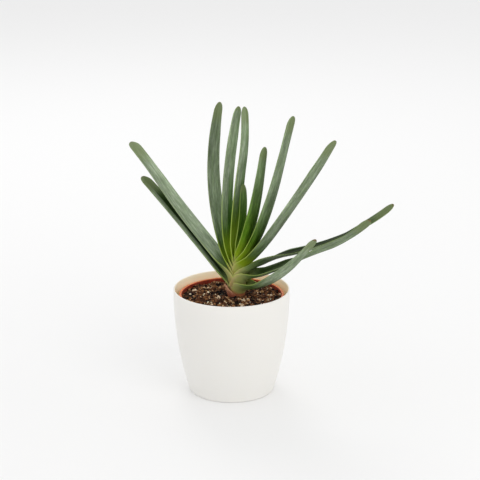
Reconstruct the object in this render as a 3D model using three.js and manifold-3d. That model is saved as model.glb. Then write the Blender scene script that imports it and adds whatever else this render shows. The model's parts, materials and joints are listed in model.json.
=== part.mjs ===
// Potted fan aloe: a young two-ranked succulent in an orange nursery pot, inside a white cover pot.
// Millimetres, +Z up. The origin is the centre of the cover pot's flat underside. The photograph's
// view looks along +Y, with +X to the right.

import * as THREE from 'three';
import { mergeVertices } from 'three/addons/utils/BufferGeometryUtils.js';
import Module from 'manifold-3d';

const wasm = await Module();
wasm.setup();

// Driving dimensions, in millimetres and degrees

// Gap between pieces that rest on or wrap each other
const CLEARANCE = 0.3;
const ROUND_SEGMENTS = 36;

// The cover pot's radius grows from the foot to the rim by a power curve, steep at the top
const COVER = {
  height: 120,
  rimRadius: 65.5,
  footRadius: 48,
  swell: 2.1,
  wall: 1.8,
  floor: 2.4,
  footRound: 2.6,
  floorRound: 2,
  wallHeights: [18, 38, 62, 90],
};

// The nursery pot is the common 12 cm size: a tapered wall with a stepped band under its rim
const NURSERY = {
  top: 113,
  rimRadius: 59.4,
  rimDepth: 8,
  wallTopRadius: 56.6,
  baseRadius: 42.5,
  wall: 1.2,
  floor: 1.4,
  lipRound: 0.8,
  baseRound: 1.5,
  drainHoles: 8,
  drainRadius: 4,
  drainCircle: 30,
  drainSegments: 12,
};

const SOIL = {
  level: 109.5,
  rings: 9,
  heap: 1.6,
  heapReach: 22,
};

// Waves that add up to the lumpy surface: radians per millimetre along x and y, and half height
const SOIL_WAVES = [
  { x: 0.24, y: 0.11, phase: 1.1, height: 0.5 },
  { x: -0.15, y: 0.29, phase: 4.0, height: 0.45 },
  { x: 0.52, y: -0.43, phase: 0.8, height: 0.35 },
  { x: 0.35, y: 0.71, phase: 2.6, height: 0.3 },
  { x: 1.1, y: 0.4, phase: 5.2, height: 0.2 },
];

// White grains: the largest where the photograph shows them, the rest scattered
const PERLITE = {
  shown: [
    { x: -15, y: 46, radius: 2.4 },
    { x: -32, y: 26, radius: 1.7 },
    { x: -47, y: 10, radius: 1.6 },
    { x: -26, y: -18, radius: 1.3 },
    { x: -22.5, y: -19, radius: 1.1 },
  ],
  scattered: 36,
  radii: [0.9, 1.9],
  flattest: 0.7,
  sunk: 0.15,
};

const BARK = {
  scattered: 30,
  lengths: [2.2, 5.2],
  breadths: [0.3, 0.6],
  thickness: 1.6,
};

// Loose bits lean up to this much, and stay this far inside the nursery pot's wall
const LOOSE = { tilt: 15, margin: 3 };

// The stem stands a little right of the pot's axis and a little behind it
const STEM = { x: 6, y: 2, segments: 20, crown: 0.8 };

// Rows of height above the soil and radius: the buried foot, the neck at the soil, the widening that
// carries the oldest leaves and the core inside the younger ones
const STEM_PROFILE = [
  [-30, 3.5],
  [-26, 5.5],
  [-12, 5.5],
  [-3, 4.6],
  [0, 4.8],
  [4, 6.6],
  [9, 8.6],
  [14, 8.7],
  [20, 7.3],
  [26, 5.8],
  [32, 3.9],
  [36, 2.5],
  [39, 1.2],
];

// What is left of a dead leaf's sheath stands off the oldest sheaths on the left and is one with the
// stem. Its profile has rows of height above the soil and radius of the inner side, and its torn edge
// has rows of azimuth and height.
const DRY_SHEATH = {
  thickness: 2,
  slit: 2,
  profile: [[-4, 3.8], [-1.5, 5.2], [1.5, 8.4], [3, 9], [6, 9.9], [10, 11.1], [15, 12.8]],
  edge: [
    [-203, 6], [-190, 12], [-178, 14.5], [-166, 13], [-155, 13.8],
    [-144, 11.5], [-132, 9.8], [-118, 8], [-104, 6], [-92, 3],
  ],
  heightSteps: 6,
};

// Each leaf starts as a sheath round the stem: wrap is the angle to either side of its back.
// The throat is its upper end, where its width and bend are part of the way to the blade's.
const SHEATH = {
  length: 12,
  thickness: 1.5,
  wrap: 125,
  throatThickness: 1.8,
  throatOpening: 0.45,
  throatFlattening: 0.4,
};

// From openAt on it is a channelled blade, with its own width there and at each of the widthsAt,
// which are shares of its length. The rows hold shares of the length too, and there a thickness in
// millimetres and a share of the channel's bend.
const BLADE = {
  openAt: 31,
  openThickness: 3.7,
  widthsAt: [0.45, 0.8, 1],
  thicknesses: [[0.4, 4.4], [1, 3.1]],
  bends: [[0.6, 0.55], [1, 0.3]],
  channelRadius: 15,
  marginShare: 0.3,
  marginPower: 2.2,
  tipRound: 10,
};

// Places of the rows of corners: near the root, between, and as shares of the rounded tip
const LEAF_ROWS = {
  sheath: [0, 6, 12, 18, 25, 33],
  spacing: 21,
  tip: [0.4, 0.75, 0.95],
  sideSteps: 8,
};

// Oldest leaf first. root: height of the insertion above the soil. azimuth: 0 to the right, 90 away
// from the viewer, changing by turn along the leaf. leans: angle from the vertical at the throat, a
// third, two thirds and the tip. rolls: turn about the leaf's own length where it opens and at the
// last three of these; without them it doesn't twist. widths: across the blade, from there to the tip.
// wrap: its own sheath's. outset: how far the sheath stands off the stem, round its neighbour's.
// A young fan aloe sets its leaves in two ranks, here about 180 degrees apart at -42 and 138.
const LEAVES = [
  {
    root: 2.5, azimuth: -46, turn: 3, leans: [71, 57, 46, 40], rolls: [-16, -30, -42, -22],
    wrap: 150, outset: 1.7, length: 143.8, widths: [15.2, 13.5, 8.8, 10],
  },
  {
    root: 4, azimuth: 140, turn: -2, leans: [49, 51.7, 54.4, 57], wrap: 88,
    length: 179, widths: [20.2, 19.4, 17, 15.2],
  },
  {
    root: 14, azimuth: -28.4, turn: 2.8, leans: [66, 60.7, 61.8, 43], rolls: [12, 15, -34, -40],
    length: 181, widths: [21.6, 17.9, 11.4, 12.5],
  },
  {
    root: 17, azimuth: 140, turn: -4, leans: [50, 51.8, 48, 55],
    length: 209, widths: [23, 21.4, 17, 16.5],
  },
  {
    root: 20, azimuth: -12.5, turn: 0, leans: [52.3, 73.9, 61.5, 46], rolls: [-26, 2, -5, 30],
    length: 197, widths: [20.5, 19.8, 19, 10],
  },
  {
    root: 23, azimuth: 128, turn: 0, leans: [35.5, 16.8, -3.4, -18.1],
    length: 204, widths: [20.5, 18.8, 15.9, 10.5],
  },
  {
    root: 26, azimuth: -40, turn: -6, leans: [46.2, 37, 36.2, 33],
    length: 221, widths: [22.8, 21.2, 20.4, 13.8],
  },
  {
    root: 28, azimuth: 132, turn: 0, leans: [21.9, -0.9, -9.7, -16.5],
    length: 194.5, widths: [18.3, 16.4, 15.1, 10.6],
  },
  {
    root: 30, azimuth: -42, turn: 0, leans: [38.9, 22.7, 16, 16.2],
    length: 205, widths: [21.5, 19.2, 13.6, 13],
  },
  {
    root: 32, azimuth: 138, turn: 0, leans: [0.2, -6.8, -10.9, 5],
    length: 189, widths: [18.3, 16.4, 13.2, 11],
  },
  {
    root: 34, azimuth: -48, turn: 2, leans: [27, 18.1, 11.4, 9.3],
    length: 153, widths: [20.5, 18.8, 13.2, 10.4],
  },
  {
    root: 36, azimuth: 138, turn: 0, leans: [-14.5, -14.8, -4.6, 2.8],
    length: 98, widths: [15, 13.5, 12, 9],
  },
];

// The oldest leaves, whose sheaths reach the soil
const LEAVES_AT_SOIL = 2;

const RANDOM_SEED = 83;

// Distances, in millimetres, under which points are one point and a sliver is dropped
const SAME_POINT = 1e-4;
const SLIVER = 0.03;

// Small helpers

const radians = THREE.MathUtils.degToRad;
const lerp = THREE.MathUtils.lerp;

// Value at x on straight lines between rows of [x, value]
function along(rows, x) {
  if (x <= rows[0][0]) return rows[0][1];
  for (let i = 1; i < rows.length; i += 1) {
    const [x0, v0] = rows[i - 1];
    const [x1, v1] = rows[i];
    if (x <= x1) return lerp(v0, v1, (x - x0) / (x1 - x0));
  }
  return rows[rows.length - 1][1];
}

// Repeatable random numbers between 0 and 1
function seededRandom(seed) {
  let state = seed;
  return () => {
    state = (state * 1664525 + 1013904223) % 4294967296;
    return state / 4294967296;
  };
}

// A closed three.js geometry as a solid for joining and cutting
function toSolid(geometry) {
  const bare = geometry.clone();
  bare.deleteAttribute('normal');
  bare.deleteAttribute('uv');
  const merged = mergeVertices(bare, SAME_POINT);
  const corners = merged.index.array;
  const kept = [];
  for (let i = 0; i < corners.length; i += 3) {
    const [a, b, c] = [corners[i], corners[i + 1], corners[i + 2]];
    if (a !== b && b !== c && c !== a) kept.push(a, b, c);
  }
  return new wasm.Manifold(new wasm.Mesh({
    numProp: 3,
    vertProperties: new Float32Array(merged.attributes.position.array),
    triVerts: new Uint32Array(kept),
  }));
}

// A closed skin over rings of corners. The first half of each ring is one side and the second half the
// other, and a strip between them closes the first ring. A tip corner, or else a strip, closes the last.
function closedSkin(rings, tip) {
  const size = rings[0].length;
  const last = (rings.length - 1) * size;
  const faces = [];
  for (let row = 0; row < last; row += size) {
    for (let i = 0; i < size; i += 1) {
      const a = row + i;
      const b = row + ((i + 1) % size);
      faces.push(a, b, b + size, a, b + size, a + size);
    }
  }
  for (let i = 0; i + 1 < size / 2; i += 1) {
    const [a, b, c, d] = [i, i + 1, size - 2 - i, size - 1 - i];
    faces.push(a, c, b, a, d, c);
    if (!tip) faces.push(last + a, last + b, last + c, last + a, last + c, last + d);
  }
  for (let i = 0; tip && i < size; i += 1) {
    faces.push(last + i, last + ((i + 1) % size), last + size);
  }
  const corners = tip ? [...rings.flat(), tip] : rings.flat();
  const geometry = new THREE.BufferGeometry().setFromPoints(corners);
  geometry.setIndex(faces);
  return toSolid(geometry);
}

// The largest body of a solid, back as a three.js geometry
function toGeometry(solid) {
  const bodies = solid.simplify(SLIVER).decompose();
  bodies.sort((a, b) => b.volume() - a.volume());
  const mesh = bodies[0].getMesh();
  const geometry = new THREE.BufferGeometry();
  geometry.setAttribute('position', new THREE.BufferAttribute(mesh.vertProperties, 3));
  geometry.setIndex(new THREE.BufferAttribute(mesh.triVerts, 1));
  return geometry;
}

// A round piece about the Z axis from rows of [radius, height]
function turned(profile, segments) {
  const points = profile.map(([radius, height]) => new THREE.Vector2(radius, height));
  return new THREE.LatheGeometry(points, segments).rotateX(Math.PI / 2);
}

// Cover pot

function coverRadius(height) {
  const below = 1 - height / COVER.height;
  return COVER.rimRadius - (COVER.rimRadius - COVER.footRadius) * below ** COVER.swell;
}

// Flat underside, rounded foot, outer wall, rounded lip, inner wall and floor
function coverPot() {
  const { height, rimRadius, wall, floor, footRound, floorRound, wallHeights } = COVER;
  const profile = [[0, 0]];
  const footReach = coverRadius(footRound) - footRound;
  for (const angle of [0, 30, 60, 90]) {
    const turn = radians(angle);
    profile.push([footReach + footRound * Math.sin(turn), footRound * (1 - Math.cos(turn))]);
  }
  const lip = wall / 2;
  const heights = [...wallHeights, height - lip];
  for (const z of heights) profile.push([coverRadius(z), z]);
  for (const angle of [45, 90, 135]) {
    const turn = radians(angle);
    profile.push([rimRadius - lip + lip * Math.cos(turn), height - lip + lip * Math.sin(turn)]);
  }
  for (const z of heights.reverse()) profile.push([coverRadius(z) - wall, z]);
  profile.push([coverRadius(floor + floorRound) - wall, floor + floorRound]);
  profile.push([coverRadius(floor) - wall - floorRound, floor]);
  profile.push([0, floor]);
  return turned(profile, ROUND_SEGMENTS);
}

// Nursery pot

const NURSERY_BOTTOM = COVER.floor + CLEARANCE;

// Inner radius of the nursery pot's tapered wall
function nurseryBore(z) {
  const { top, rimDepth, wall, wallTopRadius, baseRadius } = NURSERY;
  const share = (z - NURSERY_BOTTOM) / (top - rimDepth - NURSERY_BOTTOM);
  return lerp(baseRadius, wallTopRadius, share) - wall;
}

function nurseryPot() {
  const { top, rimRadius, rimDepth, wallTopRadius, baseRadius, floor, lipRound, baseRound } = NURSERY;
  const bottom = NURSERY_BOTTOM;
  const inside = bottom + floor;
  const profile = [
    [0, bottom],
    [baseRadius - baseRound, bottom],
    [baseRadius, bottom + baseRound],
    [wallTopRadius, top - rimDepth],
    [rimRadius, top - rimDepth],
    [rimRadius, top - lipRound],
    [rimRadius - lipRound, top],
    [nurseryBore(top) + lipRound, top],
    [nurseryBore(top - lipRound), top - lipRound],
    [nurseryBore(inside + baseRound), inside + baseRound],
    [nurseryBore(inside) - baseRound, inside],
    [0, inside],
  ];
  let pot = toSolid(turned(profile, ROUND_SEGMENTS));
  for (let i = 0; i < NURSERY.drainHoles; i += 1) {
    const turn = (2 * Math.PI * i) / NURSERY.drainHoles;
    const { drainRadius, drainCircle, drainSegments } = NURSERY;
    const hole = new THREE.CylinderGeometry(drainRadius, drainRadius, 3 * floor, drainSegments);
    hole.rotateX(Math.PI / 2);
    hole.translate(drainCircle * Math.cos(turn), drainCircle * Math.sin(turn), bottom + floor / 2);
    pot = pot.subtract(toSolid(hole));
  }
  return toGeometry(pot);
}

// Stem

function stemRadius(height) {
  return along(STEM_PROFILE, height);
}

// The stem from its buried foot to the growing point, thicker all over by grow
function stemSolid(grow) {
  const [footHeight] = STEM_PROFILE[0];
  const [crownHeight] = STEM_PROFILE[STEM_PROFILE.length - 1];
  const profile = [[0, footHeight - grow]];
  for (const [height, radius] of STEM_PROFILE) {
    profile.push([radius + grow, height + Math.sign(height) * grow]);
  }
  profile.push([0, crownHeight + STEM.crown + grow]);
  return toSolid(turned(profile, STEM.segments).translate(STEM.x, STEM.y, SOIL.level));
}

// The dry sheath, thicker all over by grow and on its inner side by inset: at each azimuth a ring up
// its inner side and down its outer side
function drySheathSolid(grow, inset = grow) {
  const { thickness, profile, edge, heightSteps } = DRY_SHEATH;
  const bottom = profile[0][0] - grow;
  const rings = edge.map(([azimuth, top], column) => {
    const inner = [];
    const outer = [];
    const ending = Number(column === edge.length - 1) - Number(column === 0);
    for (let i = 0; i <= heightSteps; i += 1) {
      const height = lerp(bottom, top + grow, i / heightSteps);
      const radius = along(profile, height);
      const turn = radians(azimuth) + (ending * grow) / radius;
      const corner = (reach) => new THREE.Vector3(
        STEM.x + reach * Math.cos(turn),
        STEM.y + reach * Math.sin(turn),
        SOIL.level + height,
      );
      inner.push(corner(radius - inset));
      outer.push(corner(radius + thickness + grow));
    }
    return [...inner, ...outer.reverse()];
  });
  return closedSkin(rings);
}

// The oldest leaves with the clearance that the stem and the soil keep round them
function lowestSheaths() {
  return LEAVES.slice(0, LEAVES_AT_SOIL).map((leaf) => leafSolid(leaf, CLEARANCE));
}

function stem() {
  const dry = drySheathSolid(0).subtract(wasm.Manifold.union(lowestSheaths()));
  return toGeometry(stemSolid(0).add(dry));
}

// Soil

// Height of the lumpy surface, heaped a little at the stem
function soilHeight(x, y) {
  const fromStem = Math.hypot(x - STEM.x, y - STEM.y) / SOIL.heapReach;
  let height = SOIL.level - SOIL.heap / 2 + SOIL.heap * Math.exp(-(fromStem ** 2));
  for (const wave of SOIL_WAVES) {
    height += wave.height * Math.sin(wave.x * x + wave.y * y + wave.phase);
  }
  return height;
}

// The mix fills the nursery pot, and its flat top is raised to the lumpy surface
function soilBody() {
  const { level, rings } = SOIL;
  const { floor, baseRound } = NURSERY;
  const bottom = NURSERY_BOTTOM + floor + CLEARANCE;
  const edge = nurseryBore(level) - CLEARANCE;
  const profile = [
    [0, bottom],
    [nurseryBore(bottom) - baseRound - CLEARANCE, bottom],
    [nurseryBore(bottom + baseRound) - CLEARANCE, bottom + baseRound],
  ];
  for (let i = 0; i < rings; i += 1) profile.push([edge * (1 - i / rings), level]);
  profile.push([0, level]);
  const geometry = turned(profile, ROUND_SEGMENTS);
  const position = geometry.attributes.position;
  for (let i = 0; i < position.count; i += 1) {
    if (position.getZ(i) < level - 1) continue;
    position.setZ(i, soilHeight(position.getX(i), position.getY(i)));
  }
  return toSolid(geometry);
}

// Perlite grains and bark bits, sunk into the surface and turned at random
function soilGrains() {
  const random = seededRandom(RANDOM_SEED);
  const reach = nurseryBore(SOIL.level) - LOOSE.margin;
  const grains = [];
  const lay = (geometry, x, y, sunk) => {
    geometry.rotateZ(2 * Math.PI * random());
    geometry.rotateX(radians(LOOSE.tilt) * (2 * random() - 1));
    geometry.translate(x, y, soilHeight(x, y) - sunk);
    grains.push(toSolid(geometry));
  };
  const anywhere = () => {
    const radius = reach * Math.sqrt(random());
    const turn = 2 * Math.PI * random();
    return { x: radius * Math.cos(turn), y: radius * Math.sin(turn) };
  };
  const white = [...PERLITE.shown];
  for (let i = 0; i < PERLITE.scattered; i += 1) {
    white.push({ ...anywhere(), radius: lerp(...PERLITE.radii, random() ** 2) });
  }
  for (const { x, y, radius } of white) {
    const grain = new THREE.IcosahedronGeometry(radius, 0);
    grain.scale(1, lerp(PERLITE.flattest, 1, random()), lerp(PERLITE.flattest, 1, random()));
    lay(grain, x, y, PERLITE.sunk * radius);
  }
  for (let i = 0; i < BARK.scattered; i += 1) {
    const { x, y } = anywhere();
    const length = lerp(...BARK.lengths, random() ** 2);
    const breadth = length * lerp(...BARK.breadths, random());
    lay(new THREE.BoxGeometry(length, breadth, BARK.thickness), x, y, 0);
  }
  return grains;
}

// The mix leaves a hole for the stem's foot and lies close round the lowest sheaths, with none of it
// in the slit behind the dry one
function soil() {
  const filled = wasm.Manifold.union([soilBody(), ...soilGrains()]);
  const dry = drySheathSolid(CLEARANCE, DRY_SHEATH.slit);
  const standing = [stemSolid(CLEARANCE), dry, ...lowestSheaths()];
  return toGeometry(filled.subtract(wasm.Manifold.union(standing)));
}

// Leaves

// Distance of a leaf's back from the stem's axis where it starts
function rootRadius({ root, outset = 0 }) {
  return stemRadius(root) + outset + CLEARANCE + SHEATH.thickness / 2;
}

// Places along the leaf, each a point on its middle line with axes ahead, inward and across
function leafSpine(leaf, distances) {
  const { root, azimuth, leans, rolls = [0, 0, 0, 0], turn, length } = leaf;
  const leanRows = [[0, 0], [SHEATH.length, leans[0]]];
  const rollRows = [[SHEATH.length, 0], [BLADE.openAt, rolls[0]]];
  for (const third of [1, 2, 3]) {
    leanRows.push([(third * length) / 3, leans[third]]);
    rollRows.push([(third * length) / 3, rolls[third]]);
  }
  const anglesAt = (distance) => ({
    lean: radians(along(leanRows, distance)),
    heading: radians(azimuth + (turn * distance) / length),
  });
  const aheadAt = ({ lean, heading }) => new THREE.Vector3(
    Math.sin(lean) * Math.cos(heading),
    Math.sin(lean) * Math.sin(heading),
    Math.cos(lean),
  );
  const start = radians(azimuth);
  const point = new THREE.Vector3(
    STEM.x + rootRadius(leaf) * Math.cos(start),
    STEM.y + rootRadius(leaf) * Math.sin(start),
    SOIL.level + root,
  );
  const spine = [];
  let reached = 0;
  for (const distance of distances) {
    const steps = Math.ceil(distance - reached);
    const step = steps ? (distance - reached) / steps : 0;
    for (let i = 0; i < steps; i += 1) {
      point.addScaledVector(aheadAt(anglesAt(reached + (i + 0.5) * step)), step);
    }
    reached = distance;
    const { lean, heading } = anglesAt(distance);
    const ahead = aheadAt({ lean, heading });
    const inward = aheadAt({ lean: lean - Math.PI / 2, heading });
    inward.applyAxisAngle(ahead, radians(along(rollRows, distance)));
    const across = new THREE.Vector3().crossVectors(inward, ahead);
    spine.push({ distance, point: point.clone(), ahead, inward, across });
  }
  return spine;
}

// Half width, thickness and bend (one over its radius) of the section at a distance from the root
function leafSection(leaf, distance) {
  const { length, widths, wrap = SHEATH.wrap } = leaf;
  const { openAt, openThickness, tipRound, marginShare } = BLADE;
  const farther = (rows, size) => rows.map(([share, value]) => [share * length, value * size]);
  const rootHalf = rootRadius(leaf) * radians(wrap);
  const rootBend = 1 / rootRadius(leaf);
  const bladeBend = 1 / BLADE.channelRadius;
  const half = along([
    [0, rootHalf],
    [SHEATH.length, lerp(rootHalf, widths[1] / 2, SHEATH.throatOpening)],
    [openAt, widths[0] / 2],
    ...BLADE.widthsAt.map((share, i) => [share * length, widths[i + 1] / 2]),
  ], distance);
  const thickness = along([
    [0, SHEATH.thickness],
    [SHEATH.length, SHEATH.throatThickness],
    [openAt, openThickness],
    ...farther(BLADE.thicknesses, 1),
  ], distance);
  const bend = along([
    [0, rootBend],
    [SHEATH.length, lerp(rootBend, bladeBend, SHEATH.throatFlattening)],
    [openAt, bladeBend],
    ...farther(BLADE.bends, bladeBend),
  ], distance);
  const fromTip = Math.min(1, (length - distance) / tipRound);
  const round = Math.sqrt(1 - (1 - fromTip) ** 2);
  return { half: half * round, thickness: thickness * Math.max(round, marginShare), bend };
}

// Distances of the leaf's rows of corners from its root
function leafRows(leaf) {
  const rows = [...LEAF_ROWS.sheath];
  const start = rows[rows.length - 1];
  const between = leaf.length - BLADE.tipRound - start;
  const pieces = Math.round(between / LEAF_ROWS.spacing);
  for (let i = 1; i <= pieces; i += 1) rows.push(start + (i * between) / pieces);
  for (const share of LEAF_ROWS.tip) rows.push(leaf.length - BLADE.tipRound * (1 - share));
  return rows;
}

// Corners round the section at one place: along the back, then back along the face
function sectionRing(leaf, place, grow) {
  const { half, thickness, bend } = leafSection(leaf, place.distance);
  const back = [];
  const face = [];
  for (let i = 0; i <= LEAF_ROWS.sideSteps; i += 1) {
    const side = -1 + (2 * i) / LEAF_ROWS.sideSteps;
    const turn = bend * side * (half + grow);
    const thinning = lerp(1, BLADE.marginShare, Math.abs(side) ** BLADE.marginPower);
    const offset = (thickness * thinning) / 2 + grow;
    const corner = (rise) => place.point.clone()
      .addScaledVector(place.across, Math.sin(turn) * (1 / bend - rise))
      .addScaledVector(place.inward, 1 / bend - Math.cos(turn) * (1 / bend - rise));
    back.push(corner(-offset));
    face.push(corner(offset));
  }
  return [...back, ...face.reverse()];
}

// A leaf as one closed skin: a clasping sheath that opens into a shallow channelled blade
function leafSolid(leaf, grow) {
  const spine = leafSpine(leaf, leafRows(leaf));
  const rings = spine.map((place) => sectionRing(leaf, place, grow));
  rings[0].forEach((corner) => corner.addScaledVector(spine[0].ahead, -grow));
  const last = spine[spine.length - 1];
  const tip = last.point.clone().addScaledVector(last.ahead, leaf.length - last.distance + grow);
  return closedSkin(rings, tip);
}

// Each leaf keeps clear of the stem and of every younger leaf inside it
function leafGeometries() {
  const inside = [stemSolid(CLEARANCE)];
  const geometries = [];
  for (const leaf of [...LEAVES].reverse()) {
    geometries.unshift(toGeometry(leafSolid(leaf, 0).subtract(wasm.Manifold.union(inside))));
    inside.push(leafSolid(leaf, CLEARANCE));
  }
  return geometries;
}

// Colours and finishes

function material(color, roughness) {
  return new THREE.MeshStandardMaterial({ color, roughness, metalness: 0 });
}

const LEAF_ROUGHNESS = 0.5;
const LEAF_COLOURS = [
  0x7b8a6e, 0x55694f, 0x63745b, 0x7b8c72, 0x5e7058, 0x60735b,
  0x6d7f66, 0x5d7154, 0x5a7048, 0x61784f, 0x3f6126, 0x4a6f27,
];

// Assembly

const plant = new THREE.Group();

function add(name, geometry, look) {
  const mesh = new THREE.Mesh(geometry, look);
  mesh.name = name;
  plant.add(mesh);
}

add('outer_pot', coverPot(), material(0xece9e2, 0.45));
add('nursery_pot', nurseryPot(), material(0xb5552b, 0.5));
add('soil', soil(), material(0x3b2a21, 0.95));
add('stem', stem(), material(0x8a5f3f, 0.8));
leafGeometries().forEach((geometry, i) => {
  const number = String(i + 1).padStart(2, '0');
  add(`leaf_${number}`, geometry, material(LEAF_COLOURS[i], LEAF_ROUGHNESS));
});

export default plant;
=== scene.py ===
# Young potted fan aloe: two ranks of waxy strap leaves on a short stem, in an orange grow pot that
# stands in a white cover pot. Lengths are written in millimetres and turned to metres by MM.

import json
import math
from collections import namedtuple
from functools import partial

import bmesh
import bpy
import numpy as np
from mathutils import Matrix, Vector, noise

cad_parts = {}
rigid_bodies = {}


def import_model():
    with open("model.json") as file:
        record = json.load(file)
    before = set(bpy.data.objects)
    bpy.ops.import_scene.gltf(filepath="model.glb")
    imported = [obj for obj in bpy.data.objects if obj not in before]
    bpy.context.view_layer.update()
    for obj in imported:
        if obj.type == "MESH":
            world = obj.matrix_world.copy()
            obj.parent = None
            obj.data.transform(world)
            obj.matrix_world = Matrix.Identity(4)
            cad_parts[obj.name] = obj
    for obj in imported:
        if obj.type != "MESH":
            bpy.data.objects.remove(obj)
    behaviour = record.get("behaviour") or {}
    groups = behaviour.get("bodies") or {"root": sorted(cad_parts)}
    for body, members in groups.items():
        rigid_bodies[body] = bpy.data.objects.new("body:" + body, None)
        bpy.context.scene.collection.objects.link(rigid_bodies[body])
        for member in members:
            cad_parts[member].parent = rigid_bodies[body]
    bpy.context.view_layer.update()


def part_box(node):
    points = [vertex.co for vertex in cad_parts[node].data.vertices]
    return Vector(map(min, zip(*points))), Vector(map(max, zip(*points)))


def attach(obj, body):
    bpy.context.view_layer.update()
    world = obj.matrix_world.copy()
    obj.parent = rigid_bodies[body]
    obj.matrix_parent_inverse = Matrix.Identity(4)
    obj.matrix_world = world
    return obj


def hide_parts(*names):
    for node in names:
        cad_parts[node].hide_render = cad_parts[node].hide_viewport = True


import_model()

MM = 0.001

# Sizes that the frame gives
COVER_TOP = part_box("outer_pot")[1].z / MM
COVER_RIM_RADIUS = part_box("outer_pot")[1].x / MM
GROW_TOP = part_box("nursery_pot")[1].z / MM
GROW_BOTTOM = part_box("nursery_pot")[0].z / MM
GROW_RIM_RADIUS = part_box("nursery_pot")[1].x / MM

# Cover pot
COVER_FOOT_RADIUS = 48
COVER_SWELL = 2.1
COVER_WALL = 1.8
COVER_FLOOR = 2.4
COVER_FOOT_ROUND = 2.6
COVER_FLOOR_ROUND = 2
COVER_WALL_ROWS = 34
COVER_STEPS = 192

# Grow pot: a tapered wall with a stepped band under its rim
GROW_RIM_DEPTH = 8
GROW_WALL_TOP_RADIUS = 56.6
GROW_BASE_RADIUS = 42.5
GROW_WALL = 1.2
GROW_FLOOR = 1.4
GROW_ROUND = 1.5
GROW_LIP = 0.8
GROW_CHAMFER = 0.3
GROW_WALL_ROWS = 12
GROW_STEPS = 160
# How squarely a face looks at the axis, from 0 to 1, to count as the inner wall, whose darker
# copy of the orange paints its shade
GROW_INWARD = 0.7
DRAIN_HOLES = 8
DRAIN_RADIUS = 4
DRAIN_CIRCLE = 30
DRAIN_STEPS = 32

# Soil surface: a heap at the stem and waves of (x, y, phase, height)
SOIL_LEVEL = 109.5
SOIL_HEAP = 1.6
SOIL_HEAP_REACH = 22
SOIL_WAVES = (
    (0.24, 0.11, 1.1, 0.5),
    (-0.15, 0.29, 4.0, 0.45),
    (0.52, -0.43, 0.8, 0.35),
    (0.35, 0.71, 2.6, 0.3),
    (1.1, 0.4, 5.2, 0.2),
)
PEAT_RINGS = 64
PEAT_STEPS = 224

# Roughness and step between the layers of a fractal
FRACTAL = (0.9, 2.1)

# Clods and pits on top of the waves: how many to a millimetre, height, and where a pit begins
CLOD_CELLS, CLOD_HEIGHT = 0.2, 1.7
PIT_CELLS, PIT_DEPTH, PIT_FROM = 0.12, 1.5, 0.2
# They fade out over the last twelfth of the way to the grow pot's wall
CLOD_FADE = 12

# Hollows in the soil, with painted shade on the crumbs in them: x, y, radius and depth
HOLLOWS = ((7, -22, 5, 2.5), (-13, 12, 8, 1.2), (-50, 5, 6, 1.2))

# Stem: it stands a little right of the pot's axis and a little behind it
STEM_X = 6
STEM_Y = 2
STEM_CROWN = 0.8
STEM_NECK = 4.8
STEM_STEPS = 64
# Its cork: grains in a metre, each 3.8 mm wide, and how far they stand out
CORK_CELLS = 260
CORK_HEIGHT = 0.22
STEM_ROWS = (
    (-30, 3.5), (-26, 5.5), (-12, 5.5), (-3, 4.6), (0, STEM_NECK), (4, 6.6), (9, 8.6),
    (14, 8.7), (20, 7.3), (26, 5.8), (32, 3.9), (36, 2.5), (39, 1.2),
)
CLEARANCE = 0.3

# What is left of a dead leaf's sheath, one with the stem: rows of height and inner radius, and of
# azimuth and height of its torn edge
DRY_THICKNESS = 2
DRY_SLIT = 2
DRY_ROWS = ((-4, 3.8), (-1.5, 5.2), (1.5, 8.4), (3, 9), (6, 9.9), (10, 11.1), (15, 12.8))
DRY_EDGE = (
    (-203, 6), (-190, 12), (-178, 14.5), (-166, 13), (-155, 13.8),
    (-144, 11.5), (-132, 9.8), (-118, 8), (-104, 6), (-92, 3),
)
DRY_COLUMNS = 73
DRY_UP = 23
# Its edge is torn and its wall crumpled: how many tears to a degree, how many folds to a degree
# and to a millimetre of height, and how high they are
TEAR_CELLS, TEAR_HEIGHT = 0.35, 0.9
CRUMPLE_CELLS, CRUMPLE_HEIGHT = (0.12, 0.3), 0.35

# Leaves: a sheath round the stem, open from the throat on, then a channelled blade
SHEATH_LENGTH = 12
SHEATH_THICKNESS = 1.5
THROAT_THICKNESS = 1.8
THROAT_OPENING = 0.45
THROAT_FLATTENING = 0.4
OPEN_AT = 31
OPEN_THICKNESS = 3.7
WIDTHS_AT = (0.45, 0.8, 1)
BLADE_THICKNESSES = ((0.4, 4.4), (1, 3.1))
BLADE_BENDS = ((0.6, 0.55), (1, 0.3))
CHANNEL_RADIUS = 15
MARGIN_SHARE = 0.3
MARGIN_POWER = 2.2
MARGIN_ROUNDING = 14
TIP_ROUND = 10
LOW_REACH = 42
LOW_ROWS = 29
BLADE_ROW = 2.6
TIP_ROWS = 13
LEAF_AROUND = 48
LEAF_SHARP = 38

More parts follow.
